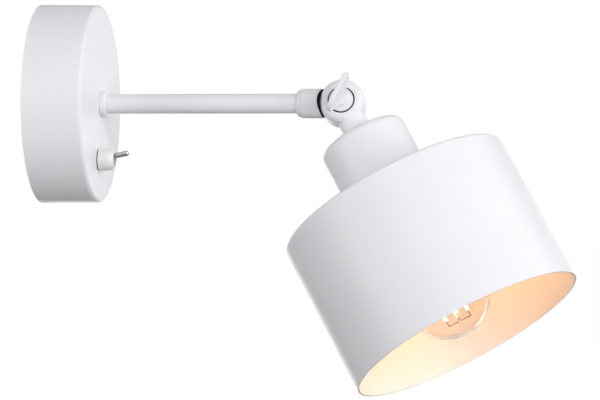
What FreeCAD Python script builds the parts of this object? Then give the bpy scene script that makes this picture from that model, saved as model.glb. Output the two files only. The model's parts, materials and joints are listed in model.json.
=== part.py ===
"""Bedside wall reading lamp: a round wall plate, a fixed arm, a tilting knuckle and a drum shade.

Millimetres. The origin is the middle of the wall plate on the wall, +X runs out of the wall
along the arm, +Z is up. Pieces of the head are drawn along the shade's own axis, from the
tilt pivot, and are then turned down by head_droop and carried out to the pivot.
"""
import math
import os
from types import SimpleNamespace

import FreeCAD
import Part
import Sketcher

Vector = FreeCAD.Vector

DRIVING = [
    ("shared fits", [
        ("thread_gap", 0.05, "play of a male thread in its female thread, on the radius"),
        ("part_gap", 0.1, "play between faces that are screwed up to each other"),
        ("wire_radius", 0.9, "insulated lead"),
    ]),
    ("wall plate", [
        ("canopy_diameter", 105.1, "at the wall"),
        ("canopy_face_diameter", 104.5, "at the front, slightly drawn in"),
        ("canopy_depth", 31.5, "wall to front face"),
        ("canopy_wall", 1.2, "sheet steel"),
        ("canopy_edge", 2.0, "outer radius of the front edge"),
        ("arm_hole_gap", 0.3, "play of the arm's thread in the plate"),
        ("bracket_steel", 1.5, "strap behind the plate"),
        ("bracket_width", 18.0, "strap"),
        ("bracket_lift", 4.0, "how far the strap's middle stands off the wall"),
        ("bracket_raised", 16.0, "half length of the raised middle"),
        ("ear_reach", 14.0, "bent ends of the strap, out from the wall"),
        ("ear_gap", 0.4, "between a strap ear and the plate's inside"),
        ("slot_width", 4.6, "for the wall screws"),
        ("slot_length", 12.0, "for the wall screws"),
        ("slot_spacing", 70.0, "between the two slots"),
        ("cable_hole", 12.0, "mains cable entry, diameter"),
        ("side_screw_level", 8.0, "plate's side screws, out from the wall"),
        ("side_screw_diameter", 4.0, "plate's side screws"),
        ("side_screw_play", 0.2, "side screw in the plate's hole"),
        ("side_screw_length", 6.0, "plate's side screws"),
        ("tab_reach", 32.0, "bracket tab that carries the terminal block"),
        ("tab_height", 22.0, "bracket tab"),
    ]),
    ("terminals", [
        ("block_middle", 22.5, "terminal block, sideways from the middle"),
        ("block_length", 15.0, "along the wires"),
        ("block_height", 20.0, "across the poles"),
        ("block_depth", 12.0, "out from the bracket"),
        ("pole_pitch", 10.0, "between the two poles"),
        ("insert_diameter", 5.0, "brass insert"),
        ("insert_bore", 3.2, "wire hole"),
        ("insert_level", 4.6, "insert axis above the bracket tab"),
        ("clamp_screw_diameter", 2.6, "wire clamp screws"),
        ("clamp_screw_pitch", 8.0, "the two screws of one pole"),
        ("screw_well", 4.2, "access hole above a clamp screw"),
        ("block_screw_diameter", 3.0, "fixing screw"),
        ("block_screw_head", 5.4, "fixing screw"),
        ("earth_height", 11.4, "earth screw above the middle"),
        ("earth_screw_diameter", 4.0, "earth screw"),
        ("earth_screw_head", 7.0, "earth screw"),
    ]),
    ("arm", [
        ("arm_diameter", 10.4, "coated tube"),
        ("arm_thread", 10.0, "both threaded ends"),
        ("arm_bore", 8.0, "room for three leads"),
        ("arm_tail", 9.5, "tube inside the wall plate, from its front face"),
        ("collar_diameter", 13.8, "ring against the wall plate"),
        ("collar_width", 3.0, "ring against the wall plate"),
        ("collar_edge", 0.6, "its rounded edges"),
        ("arm_washer_thickness", 0.8, "toothed washer"),
        ("arm_washer_diameter", 17.0, "toothed washer"),
        ("arm_nut_flats", 14.0, "hexagon nut"),
        ("arm_nut_thickness", 3.6, "hexagon nut"),
    ]),
    ("switch", [
        ("switch_drop", 30.5, "below the arm"),
        ("switch_width", 12.6, "housing"),
        ("switch_height", 19.0, "housing"),
        ("switch_depth", 16.0, "housing"),
        ("switch_setback", 3.4, "housing behind the plate's front sheet"),
        ("bushing_diameter", 8.4, "threaded neck"),
        ("bushing_bore", 6.6, "room for the lever's ball"),
        ("bushing_flange", 12.0, "neck's foot"),
        ("flange_thickness", 0.8, "neck's foot"),
        ("bushing_hole_gap", 0.15, "neck in the plate"),
        ("switch_nut_flats", 12.0, "inside nut"),
        ("switch_nut_thickness", 2.0, "inside nut"),
        ("switch_washer_thickness", 0.5, "inside washer"),
        ("gasket_thickness", 0.6, "between the plate and the cap nut"),
        ("gasket_inset", 0.7, "gasket inside the cap nut's outline"),
        ("sleeve_diameter", 11.7, "white cap nut outside the plate"),
        ("sleeve_length", 8.2, "cap nut"),
        ("sleeve_straight", 4.0, "its cylindrical part"),
        ("sleeve_mouth", 7.4, "opening round the lever"),
        ("sleeve_front", 8.5, "diameter of its front end"),
        ("sleeve_crown", 6.0, "radius of the rounded front"),
        ("sleeve_lip", 2.1, "front wall"),
        ("lever_pivot_depth", 1.0, "pivot behind the plate's front face"),
        ("ball_play", 0.5, "lever's ball inside the neck"),
        ("lever_length", 17.6, "from the pivot to the tip"),
        ("lever_root", 2.6, "diameter at the ball"),
        ("lever_tip", 3.0, "diameter at the tip"),
        ("lever_tilt", 12.0, "degrees, up at rest"),
        ("lug_width", 4.8, "switch terminal"),
        ("lug_thickness", 0.8, "switch terminal"),
        ("lug_length", 4.5, "switch terminal"),
        ("lug_pitch", 5.5, "between switch terminals"),
    ]),
    ("knuckle", [
        ("pivot_reach", 160.4, "wall to the tilt pivot"),
        ("socket_reach", 21.8, "pivot back to the socket's rear"),
        ("socket_diameter", 15.5, "arm's socket"),
        ("socket_edge", 0.5, "bevel at its rear"),
        ("thread_depth", 8.0, "arm's thread in the socket"),
        ("lock_ring_width", 2.1, "ring behind the socket"),
        ("lock_ring_diameter", 14.2, "ring behind the socket"),
        ("lock_ring_bevel", 1.0, "on the arm's side"),
        ("knuckle_diameter", 23.6, "the two round halves"),
        ("knuckle_thickness", 15.5, "over both halves"),
        ("knuckle_edge", 2.2, "rounded rim of the rear half"),
        ("dome_edge", 4.3, "rounded rim of the front half"),
        ("joint_gap", 0.5, "between the halves"),
        ("mouth_clearance", 1.1, "socket's hollow end to the other half's rim"),
        ("mouth_radius", 13.2, "socket's hollow end"),
        ("liner_thickness", 0.8, "rubber in each socket's hollow end"),
        ("liner_inset", 0.3, "rubber inside the socket's outline"),
        ("rim_width", 2.6, "rim outside the wire chamber"),
        ("chamber_depth", 4.2, "in each half"),
        ("hub_diameter", 8.0, "round the screw in each half"),
        ("passage_radius", 2.0, "wire passage to the chamber"),
        ("passage_wall", 0.4, "between the passage and the halves' meeting face"),
        ("washer_play", 0.05, "friction washer to each half"),
        ("washer_margin", 0.4, "friction washer outside the wire chamber"),
        ("washer_inset", 0.3, "friction washer inside the rim"),
        ("screw_diameter", 5.0, "wing screw's shank"),
        ("screw_clearance", 0.2, "shank in the front half, on the radius"),
        ("screw_end", 6.5, "shank's end behind the middle"),
        ("screw_hole_spare", 0.4, "threaded hole beyond the shank's end"),
        ("recess_diameter", 14.3, "seat of the wing screw"),
        ("recess_depth", 2.2, "seat of the wing screw"),
        ("seat_play", 0.15, "wing screw's foot to its seat"),
        ("foot_play", 0.8, "wing screw's foot inside its seat"),
        ("foot_proud", 0.5, "foot's edge in front of the knuckle"),
        ("foot_crown", 0.8, "foot's middle in front of its edge"),
        ("wing_boss", 7.0, "round boss at the root of the wings, diameter"),
        ("wing_boss_height", 1.7, "in front of the foot"),
        ("blade_span", 22.2, "over both wings"),
        ("blade_height", 19.2, "wings, in front of the knuckle"),
        ("blade_lobe", 5.0, "radius of each wing"),
        ("blade_waist", 4.6, "where the wings leave the foot"),
        ("blade_thickness", 2.5, "wings"),
        ("blade_edge", 0.6, "rounded edges of the wings"),
        ("blade_turn", 25.5, "degrees, wings away from upright"),
    ]),
    ("head", [
        ("head_droop", 61.0, "degrees, shade axis below the arm at rest"),
        ("stem_diameter", 14.9, "head's socket"),
        ("stem_reach", 20.4, "pivot to the cup's top"),
        ("stem_edge", 0.4, "bevel at the cup"),
        ("nipple_bore", 7.2, "hollow thread between stem and holder"),
        ("nipple_seat", 6.3, "hollow thread inside the stem"),
        ("nipple_length", 25.0, "hollow thread"),
        ("cup_room", 2.0, "between the lamp holder and the cup"),
        ("cup_height", 37.4, "cover above the shade"),
        ("cup_wall", 1.2, "sheet steel"),
        ("cup_edge", 4.0, "outer radius of its top edge"),
        ("cup_washer_thickness", 0.8, "toothed washer in the cup"),
        ("cup_nut_thickness", 3.4, "hexagon nut in the cup"),
        ("shade_diameter", 125.8, "drum"),
        ("shade_height", 82.6, "drum"),
        ("shade_wall", 0.8, "sheet steel"),
        ("shade_edge", 1.8, "outer radius of its top edge"),
        ("shade_hole_play", 0.5, "hole in the drum's top to the holder's skirt, on the radius"),
    ]),
    ("lamp holder", [
        ("holder_top", 12.6, "below the cup's top"),
        ("holder_boss", 16.0, "threaded neck of the cap"),
        ("boss_height", 5.0, "threaded neck of the cap"),
        ("cap_overhang", 0.6, "cap outside the skirt's thread"),
        ("holder_shoulder", 11.0, "height of the cap's conical part"),
        ("holder_wall", 2.0, "moulded cap and skirt"),
        ("holder_cap_height", 21.0, "cap"),
        ("skirt_diameter", 39.4, "outer thread"),
        ("skirt_length", 34.0, "skirt"),
        ("skirt_lip", 2.0, "turned-in end"),
        ("skirt_mouth", 30.0, "opening for the bulb"),
        ("core_play", 0.6, "inner block inside the skirt"),
        ("core_thickness", 9.4, "inner block"),
        ("core_drop", 6.9, "inner block's face below the cap's end"),
        ("shell_bore", 27.0, "screw shell"),
        ("shell_wall", 0.5, "screw shell"),
        ("shell_length", 24.0, "screw shell"),
        ("contact_width", 5.0, "centre contact"),
        ("contact_thickness", 0.5, "centre contact"),
        ("ring_reach", 5.5, "flange of the shade ring outside its collar"),
        ("ring_flange", 2.2, "shade ring"),
        ("ring_wall", 3.25, "collar of the shade ring outside its thread"),
        ("ring_height", 8.4, "shade ring"),
    ]),
    ("bulb", [
        ("bulb_diameter", 45.0, "globe"),
        ("bulb_length", 78.0, "contact to tip"),
        ("bulb_clearance", 0.3, "centre contact to bulb"),
        ("cap_play", 0.4, "screw cap inside the screw shell"),
        ("cap_height", 26.5, "screw cap with its contact"),
        ("cap_wall", 0.3, "screw cap"),
        ("contact_diameter", 9.4, "tip contact"),
        ("contact_height", 1.2, "tip contact"),
        ("insulator_height", 3.6, "dark glass round the contact"),
        ("insulator_diameter", 23.0, "at the screw cap"),
        ("neck_play", 0.3, "glass neck inside the cap"),
        ("neck_fillet", 22.0, "hollow curve from neck to globe"),
        ("glass_wall", 0.8, "envelope"),
        ("mount_height", 12.0, "glass mount above the cap's edge"),
        ("mount_radius", 2.0, "glass rod"),
        ("pillar_length", 32.6, "thin rod above the mount"),
        ("pillar_radius", 0.9, "thin rod above the mount"),
        ("filament_radius", 0.75, "each stick"),
        ("filament_low", 7.0, "lower ends, out from the axis"),
        ("filament_high", 6.2, "upper ends, out from the axis"),
        ("filament_length", 24.8, "along the axis"),
        ("filament_post", 3.2, "wire at each end of a stick"),
        ("support_radius", 0.3, "wires"),
    ]),
]

DOC = FreeCAD.newDocument("wall_lamp")
PIECES = []


class Size:
    """A length: its value now, and the expression that ties it to the sheet."""

    def __init__(self, value, text):
        self.value = float(value)
        self.text = text

    def __add__(self, other):
        other = as_size(other)
        return Size(self.value + other.value, f"({self.text} + {other.text})")

    def __sub__(self, other):
        other = as_size(other)
        return Size(self.value - other.value, f"({self.text} - {other.text})")

    def __mul__(self, other):
        other = as_size(other)
        return Size(self.value * other.value, f"({self.text} * {other.text})")

    def __truediv__(self, other):
        other = as_size(other)
        return Size(self.value / other.value, f"({self.text} / {other.text})")

    def __neg__(self):
        return Size(-self.value, f"(0 - {self.text})")

    def __radd__(self, other):
        return as_size(other) + self

    def __rsub__(self, other):
        return as_size(other) - self

    def __rmul__(self, other):
        return as_size(other) * self

    def root(self):
        return Size(math.sqrt(self.value), f"sqrt({self.text})")


def as_size(number):
    """A plain number as a Size, so that both kinds mix in a formula."""
    if isinstance(number, Size):
        return number
    return Size(number, f"({float(number)})")


def fill_sheet():
    """Writes the driving sizes to the sheet and returns them as named Size values."""
    sheet = DOC.addObject("Spreadsheet::Sheet", "Sizes")
    sizes = {}
    row = 1
    for section, entries in DRIVING:
        sheet.set(f"A{row}", section)
        row += 1
        for name, value, note in entries:
            sheet.set(f"A{row}", name)
            sheet.set(f"B{row}", str(value))
            sheet.set(f"C{row}", note)
            sheet.setAlias(f"B{row}", name)
            sizes[name] = Size(value, f"Sizes.{name}")
            row += 1
    DOC.recompute()
    return SimpleNamespace(**sizes)


s = fill_sheet()


# Sketch geometry ---------------------------------------------------------------------------

class Circle:
    """A round sketch loop."""

    def __init__(self, x, y, radius):
        self.x = as_size(x)
        self.y = as_size(y)
        self.radius = as_size(radius)


def tie(sketch, kind, where, size):
    """Adds one dimension to a sketch and binds it to its expression."""
    index = sketch.addConstraint(Sketcher.Constraint(kind, *where, size.value))
    sketch.setExpression(f"Constraints[{index}]", size.text)


def draw_circle(sketch, circle):
    centre = Vector(circle.x.value, circle.y.value, 0)
    edge = sketch.addGeometry(Part.Circle(centre, Vector(0, 0, 1), circle.radius.value))
    tie(sketch, "DistanceX", (-1, 1, edge, 3), circle.x)
    tie(sketch, "DistanceY", (-1, 1, edge, 3), circle.y)
    tie(sketch, "Radius", (edge,), circle.radius)


def arc_between(start, end, turn):
    """An arc of radius |turn| from start to end: to the left when turn is positive."""
    radius = abs(turn)
    chord = end - start
    height = math.sqrt(max(radius ** 2 - (chord.Length / 2) ** 2, 0.0))
    left = Vector(-chord.y, chord.x, 0).normalize()
    centre = (start + end) * 0.5 + left * math.copysign(height, turn)
    first, last = (start, end) if turn > 0 else (end, start)
    begin = math.atan2(first.y - centre.y, first.x - centre.x)
    finish = math.atan2(last.y - centre.y, last.x - centre.x)
    if finish < begin:
        finish += 2 * math.pi
    circle = Part.Circle(centre, Vector(0, 0, 1), radius)
    return Part.ArcOfCircle(circle, begin, finish)


def draw_outline(sketch, corners):
    """A closed loop of (x, y) corners; a third value turns the next edge into an arc."""
    corners = [tuple(as_size(value) for value in corner) for corner in corners]
    points = [Vector(corner[0].value, corner[1].value, 0) for corner in corners]
    edges = []
    for number, corner in enumerate(corners):
        start = points[number]
        end = points[(number + 1) % len(points)]
        if len(corner) == 3:
            edge = sketch.addGeometry(arc_between(start, end, corner[2].value))
            ends = (1, 2) if corner[2].value > 0 else (2, 1)
        else:
            edge = sketch.addGeometry(Part.LineSegment(start, end))
            ends = (1, 2)
        edges.append((edge, ends))
    for number, (edge, ends) in enumerate(edges):
        follower, follower_ends = edges[(number + 1) % len(edges)]
        joint = (edge, ends[1], follower, follower_ends[0])
        sketch.addConstraint(Sketcher.Constraint("Coincident", *joint))
    for corner, (edge, ends) in zip(corners, edges):
        tie(sketch, "DistanceX", (-1, 1, edge, ends[0]), corner[0])
        tie(sketch, "DistanceY", (-1, 1, edge, ends[0]), corner[1])
        if len(corner) == 3:
            radius = corner[2] if corner[2].value > 0 else -corner[2]
            tie(sketch, "Radius", (edge,), radius)


def rectangle(x_low, x_high, y_low, y_high):
    return [(x_low, y_low), (x_high, y_low), (x_high, y_high), (x_low, y_high)]


def slot(x, y, width, length):
    """A round-ended slot that runs along y."""
    half = width / 2
    straight = length / 2 - half
    return [
        (x + half, y - straight),
        (x + half, y + straight, half),
        (x, y + straight + half, half),
        (x - half, y + straight),
        (x - half, y - straight, half),
        (x, y - straight - half, half),
    ]


def hexagon(flats):
    """Corners of a hexagon with two corners on the y axis."""
    corner = flats / math.sqrt(3)
    return [(corner * math.sin(math.radians(60 * k)), corner * math.cos(math.radians(60 * k)))
            for k in range(6)]


# Pieces ------------------------------------------------------------------------------------

class Piece:
    """One sub-part of the lamp, built from features on its own origin planes."""

    def __init__(self, label, x=0.0, y=0.0, z=0.0, turn=None):
        self.body = DOC.addObject("PartDesign::Body", label)
        self.body.Label = label
        self.body.AllowCompound = True
        if turn is not None:
            self.body.Placement = FreeCAD.Placement(Vector(), FreeCAD.Rotation(Vector(0, 1, 0), 1))
            self.body.setExpression("Placement.Rotation.Angle", f"{turn.text} * 1 deg")
        for axis, size in (("x", x), ("y", y), ("z", z)):
            if isinstance(size, Size):
                self.body.setExpression(f"Placement.Base.{axis}", size.text)
        self.steps = 0
        PIECES.append(self)

    def origin(self, role):
        return next(f for f in self.body.Origin.OriginFeatures if f.Role == role)

    def sketch(self, plane, loops, offset=None):
        """A sketch on XY, XZ (faces -Y) or YZ, moved along the plane's normal by offset."""
        sketch = self.body.newObject("Sketcher::SketchObject", f"{self.body.Name}_sketch")
        sketch.AttachmentSupport = [(self.origin(f"{plane}_Plane"), "")]
        sketch.MapMode = "FlatFace"
        if offset is not None:
            sketch.setExpression("AttachmentOffset.Base.z", as_size(offset).text)
        for loop in loops:
            if isinstance(loop, Circle):
                draw_circle(sketch, loop)
            else:
                draw_outline(sketch, loop)
        sketch.Visibility = False
        return sketch

    def feature(self, kind, sketch, grows):
        """Adds a feature and checks that it really added or removed material."""
        before = self.body.Shape.Volume if self.steps else 0.0
        self.steps += 1
        feature = self.body.newObject(f"PartDesign::{kind}", f"{self.body.Name}_{kind.lower()}")
        feature.Profile = sketch
        yield feature
        DOC.recompute()
        change = self.body.Shape.Volume - before
        if (change > 0) != grows or abs(change) < 1e-6:
            raise ValueError(f"{self.body.Label}: {kind} changed the volume by {change}")

    def turned(self, axis, *loops, plane="XY", cut=False):
        """Revolves loops about the sketch's own H or V axis, as metal or as a cut."""
        sketch = self.sketch(plane, loops)
        for feature in self.feature("Groove" if cut else "Revolution", sketch, not cut):
            feature.ReferenceAxis = (sketch, [f"{axis}_Axis"])
            feature.Angle = 360
        return feature

    def pad(self, plane, start, length, *loops):
        """Fills loops from start, along the plane's normal."""
        for feature in self.feature("Pad", self.sketch(plane, loops, start), True):
            feature.setExpression("Length", as_size(length).text)
        return feature

    def pocket(self, plane, start, length, *loops):
        """Cuts loops from start, along the plane's normal."""
        for feature in self.feature("Pocket", self.sketch(plane, loops, start), False):
            feature.Reversed = True
            feature.setExpression("Length", as_size(length).text)
        return feature

    def around(self, feature, axis, count):
        """Repeats a feature evenly about one of the body's own axes."""
        pattern = self.body.newObject("PartDesign::PolarPattern", f"{self.body.Name}_pattern")
        pattern.Originals = [feature]
        pattern.Axis = (self.origin(f"{axis}_Axis"), [""])
        pattern.Angle = 360
        pattern.Occurrences = count
        self.body.Tip = pattern
        DOC.recompute()

    def soften(self, radius, wanted):
        """Rounds the edges of the last feature that wanted() picks."""
        base = self.body.Tip
        names = [f"Edge{n}" for n, edge in enumerate(base.Shape.Edges, 1) if wanted(edge)]
        fillet = self.body.newObject("PartDesign::Fillet", f"{self.body.Name}_fillet")
        fillet.Base = (base, names)
        fillet.setExpression("Radius", radius.text)
        DOC.recompute()


def ring(piece, low, high, inner, outer):
    """A plain ring round the piece's X axis."""
    piece.turned("H", [(low, inner), (high, inner), (high, outer), (low, outer)])


def toothed_washer(piece, low, high, inner, outer, teeth=12, bite=1.6):
    """A ring with notches cut into its rim."""
    ring(piece, low, high, inner, outer)
    notch = [
        (outer - bite, -0.2),
        (outer + 1, -bite / 2),
        (outer + 1, bite / 2),
        (outer - bite, 0.2),
    ]
    cut = piece.pocket("YZ", low - 1, high - low + 2, notch)
    piece.around(cut, "X", teeth)


def hex_nut(piece, low, thickness, flats, hole):
    piece.pad("YZ", low, thickness, hexagon(flats), Circle(0, 0, hole))


def spun_cup(piece, top, bottom, radius, wall, edge, hole):
    """A thin cup that opens towards +X, with a rounded closed end and a round hole in it."""
    piece.turned("H", [
        (top, hole),
        (top, radius - edge, -edge),
        (top + edge, radius),
        (bottom, radius),
        (bottom, radius - wall),
        (top + edge, radius - wall, edge - wall),
        (top + wall, radius - edge),
        (top + wall, hole),
    ])


# Places that several pieces share ----------------------------------------------------------

face_in = s.canopy_depth - s.canopy_wall
tab_front = s.bracket_lift + s.bracket_steel
ear_limit = s.canopy_face_diameter / 2 - s.canopy_wall - s.ear_gap
half_strap = s.bracket_width / 2
ear_out = (ear_limit * ear_limit - half_strap * half_strap).root()
arm_thread_radius = s.arm_thread / 2
collar_front = s.canopy_depth + s.collar_width
socket_back = s.pivot_reach - s.socket_reach
lock_ring_front = socket_back - s.part_gap
lock_ring_back = lock_ring_front - s.lock_ring_width
arm_end = socket_back + s.thread_depth
sleeve_start = s.canopy_depth + s.gasket_thickness
sleeve_end = sleeve_start + s.sleeve_length
bushing_end = sleeve_end - s.sleeve_lip - s.part_gap
housing_front = face_in - s.switch_setback
housing_back = housing_front - s.switch_depth
half_gap = s.joint_gap / 2
half_knuckle = s.knuckle_thickness / 2
knuckle_radius = s.knuckle_diameter / 2
chamber_radius = knuckle_radius - s.rim_width
cup_bottom = s.stem_reach + s.cup_height
shade_rim = cup_bottom + s.shade_height
shade_under = cup_bottom + s.shade_wall
skirt_radius = s.skirt_diameter / 2
holder_radius = skirt_radius + s.cap_overhang
cup_radius = holder_radius + s.cup_room + s.cup_wall
bulb_cap_radius = s.shell_bore / 2 - s.cap_play
nipple_start = s.stem_reach - s.nipple_seat
holder_start = s.stem_reach + s.holder_top
skirt_start = holder_start + s.holder_cap_height
core_end = skirt_start + s.core_drop
core_start = core_end - s.core_thickness
bulb_start = core_end + s.contact_thickness + s.bulb_clearance
bulb_tip = bulb_start + s.bulb_length
cap_edge = bulb_start + s.cap_height


def head_piece(label):
    """A piece drawn along the shade's axis, with the tilt pivot at its origin."""
    return Piece(label, x=s.pivot_reach, turn=s.head_droop)


# Wall plate --------------------------------------------------------------------------------

def build_bracket():
    piece = Piece("wall_bracket")
    steel = s.bracket_steel
    lift = s.bracket_lift
    raised = s.bracket_raised
    bend = steel * (math.sqrt(2) - 1)
    upper = [
        (lift + steel, raised),
        (steel, raised + lift),
        (steel, ear_out - steel),
        (s.ear_reach, ear_out - steel),
        (s.ear_reach, ear_out),
        (0, ear_out),
        (0, raised + lift - bend),
        (lift, raised - bend),
    ]
    lower = [(x, -z) for x, z in reversed(upper)]
    piece.pad("XZ", -half_strap, s.bracket_width, upper + lower)
    half_tab = s.tab_height / 2
    piece.pad("YZ", lift, steel, rectangle(0, s.tab_reach, -half_tab, half_tab))
    slots = [slot(as_size(0), side * s.slot_spacing / 2, s.slot_width, s.slot_length)
             for side in (-1, 1)]
    piece.pocket("YZ", -steel, steel * 3, *slots)
    earth_hole = Circle(0, s.earth_height, s.earth_screw_diameter / 2 + s.thread_gap)
    block_hole = Circle(s.block_middle, 0, s.block_screw_diameter / 2 + s.thread_gap)
    entry = Circle(0, 0, s.cable_hole / 2)
    piece.pocket("YZ", lift - steel, steel * 3, entry, earth_hole, block_hole)
    screw_hole = Circle(s.side_screw_level, 0, s.side_screw_diameter / 2 + s.thread_gap)
    piece.pocket("XY", -s.canopy_diameter, s.canopy_diameter * 2, screw_hole)


def build_canopy():
    piece = Piece("canopy")
    depth = s.canopy_depth
    wall = s.canopy_wall
    edge = s.canopy_edge
    rim = s.canopy_diameter / 2
    front = s.canopy_face_diameter / 2
    arm_hole = arm_thread_radius + s.arm_hole_gap
    piece.turned("H", [
        (0, rim),
        (depth - edge, front, -edge),
        (depth, front - edge),
        (depth, arm_hole),
        (depth - wall, arm_hole),
        (depth - wall, front - edge, edge - wall),
        (depth - edge, front - wall),
        (0, rim - wall),
    ])
    neck_hole = Circle(0, -s.switch_drop, s.bushing_diameter / 2 + s.bushing_hole_gap)
    piece.pocket("YZ", face_in - wall, wall * 3, neck_hole)
    hole = s.side_screw_diameter / 2 + s.side_screw_play
    side_hole = Circle(s.side_screw_level, 0, hole)
    piece.pocket("XY", -s.canopy_diameter, s.canopy_diameter * 2, side_hole)


def build_canopy_screws():
    """Slotted screws that end flush with the plate's round side, above and below."""
    piece = Piece("canopy_screws", x=s.side_screw_level)
    radius = s.side_screw_diameter / 2
    draw_in = (s.canopy_diameter - s.canopy_face_diameter) / 2
    outer = s.canopy_diameter / 2 - draw_in * s.side_screw_level / s.canopy_depth - s.part_gap
    inner = outer - s.side_screw_length
    point = radius / 2
    piece.turned("V", [
        (0, inner),
        (radius - point, inner),
        (radius, inner + point),
        (radius, outer),
        (0, outer),
    ], plane="XZ")
    piece.around(piece.body.Tip, "X", 2)
    slots = [rectangle(-radius * 2, radius * 2, outer - 1, outer + 1),
             rectangle(-radius * 2, radius * 2, -outer - 1, -outer + 1)]
    slot_width = 0.7
    piece.pocket("XZ", -slot_width / 2, slot_width, *slots)


# Terminals in the wall plate ---------------------------------------------------------------

insert_x = tab_front + s.insert_level
pole_heights = [side * s.pole_pitch / 2 for side in (-1, 1)]
clamp_places = [(s.block_middle + side * s.clamp_screw_pitch / 2, z)
                for z in pole_heights for side in (-1, 1)]


def slotted_screw(piece, seat, shank, radius, head_height, head_radius):
    """A cheese-head screw along X: the head sits on seat and the shank runs back from it."""
    bevel = 0.4
    top = seat + head_height
    piece.turned("H", [
        (seat - shank, 0),
        (top, 0),
        (top, head_radius - bevel),
        (top - bevel, head_radius),
        (seat, head_radius),
        (seat, radius),
        (seat - shank, radius),
    ])
    driver_slot = rectangle(-head_radius * 2, head_radius * 2, -bevel, bevel)
    piece.pocket("YZ", seat + head_height / 2, head_height, driver_slot)


def build_terminal_block():
    """Moulded block: a bore for each brass insert and a well above each clamp screw."""
    piece = Piece("terminal_block")
    half = s.block_length / 2
    half_height = s.block_height / 2
    piece.pad("YZ", tab_front, s.block_depth,
              rectangle(s.block_middle - half, s.block_middle + half, -half_height, half_height))
    radius = s.insert_diameter / 2 + s.thread_gap
    bores = [Circle(insert_x, z, radius) for z in pole_heights]
    piece.pocket("XZ", -s.block_middle - s.block_length, s.block_length * 2, *bores)
    wells = [Circle(y, z, s.screw_well / 2) for y, z in clamp_places]
    piece.pocket("YZ", insert_x, s.block_depth, *wells)
    fixing = Circle(s.block_middle, 0, s.block_screw_diameter / 2 + s.thread_gap)
    piece.pocket("YZ", tab_front - s.bracket_steel, s.block_depth * 2, fixing)
    head_seat = Circle(s.block_middle, 0, s.block_screw_head / 2 + s.part_gap)
    piece.pocket("YZ", tab_front + s.block_depth / 2, s.block_depth, head_seat)


def build_terminal_inserts():
    piece = Piece("terminal_inserts")
    half = s.block_length / 2 - s.part_gap * 5
    radius = s.insert_diameter / 2
    piece.pad("XZ", -s.block_middle - half, half * 2,
              *[Circle(insert_x, z, radius) for z in pole_heights])
    piece.pocket("XZ", -s.block_middle - half * 2, half * 4,
                 *[Circle(insert_x, z, s.insert_bore / 2) for z in pole_heights])
    thread = s.clamp_screw_diameter / 2 + s.thread_gap
    piece.pocket("YZ", insert_x, radius * 2, *[Circle(y, z, thread) for y, z in clamp_places])


def build_clamp_screws():
    piece = Piece("clamp_screws")
    tip = insert_x + s.insert_bore / 2 - s.part_gap
    seat = insert_x + s.insert_diameter / 2 + s.part_gap
    head_height = 2.2
    shank = s.clamp_screw_diameter / 2
    head = s.screw_well / 2 - s.part_gap
    piece.pad("YZ", tip, seat - tip, *[Circle(y, z, shank) for y, z in clamp_places])
    piece.pad("YZ", seat, head_height, *[Circle(y, z, head) for y, z in clamp_places])
    half_slot = 0.3
    ends = (s.block_middle - s.block_length / 2, s.block_middle + s.block_length / 2)
    slots = [rectangle(ends[0], ends[1], z - half_slot, z + half_slot) for z in pole_heights]
    piece.pocket("YZ", seat + head_height / 2, head_height, *slots)


def build_block_screw():
    piece = Piece("block_screw", y=s.block_middle)
    seat = tab_front + s.block_depth / 2
    shank = s.block_depth / 2 + s.bracket_steel
    slotted_screw(piece, seat, shank, s.block_screw_diameter / 2, 2.0, s.block_screw_head / 2)


def build_earth_terminal():
    washer = 0.8
    lug = Piece("earth_lug", z=s.earth_height)
    clear = s.earth_screw_diameter / 2 + s.part_gap
    head = s.earth_screw_head / 2
    tail = 9.0
    tail_half = 1.6
    lug.pad("YZ", tab_front, washer, Circle(0, 0, head + 0.5))
    lug.pad("YZ", tab_front, washer, rectangle(-head - tail, 0, -tail_half, tail_half))
    lug.pocket("YZ", tab_front - washer, washer * 3, Circle(0, 0, clear))
    screw = Piece("earth_screw", z=s.earth_height)
    shank = washer + s.bracket_steel + s.bracket_lift / 2
    slotted_screw(screw, tab_front + washer, shank, s.earth_screw_diameter / 2, 2.4, head)


# Arm ---------------------------------------------------------------------------------------

def build_arm():
    tube = Piece("arm_tube")
    bore = s.arm_bore / 2
    outer = s.arm_diameter / 2
    tail = s.canopy_depth - s.arm_tail
    tube.turned("H", [
        (tail, bore),
        (arm_end, bore),
        (arm_end, arm_thread_radius),
        (lock_ring_back, arm_thread_radius),
        (lock_ring_back, outer),
        (collar_front, outer),
        (collar_front, arm_thread_radius),
        (tail, arm_thread_radius),
    ])
    female = arm_thread_radius + s.thread_gap
    collar = Piece("arm_collar")
    edge = s.collar_edge
    rim = s.collar_diameter / 2
    collar.turned("H", [
        (s.canopy_depth, female),
        (collar_front, female),
        (collar_front, rim - edge, edge),
        (collar_front - edge, rim),
        (s.canopy_depth + edge, rim, edge),
        (s.canopy_depth, rim - edge),
    ])
    washer_back = face_in - s.arm_washer_thickness
    toothed_washer(Piece("arm_washer"), washer_back, face_in, arm_thread_radius + s.part_gap,
                   s.arm_washer_diameter / 2)
    hex_nut(Piece("arm_nut"), washer_back - s.arm_nut_thickness, s.arm_nut_thickness,
            s.arm_nut_flats, female)
    lock_ring = Piece("joint_lock_ring")
    rim = s.lock_ring_diameter / 2
    bevel = s.lock_ring_bevel
    lock_ring.turned("H", [
        (lock_ring_back, female),
        (lock_ring_front, female),
        (lock_ring_front, rim),
        (lock_ring_back + bevel, rim),
        (lock_ring_back, rim - bevel),
    ])


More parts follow.
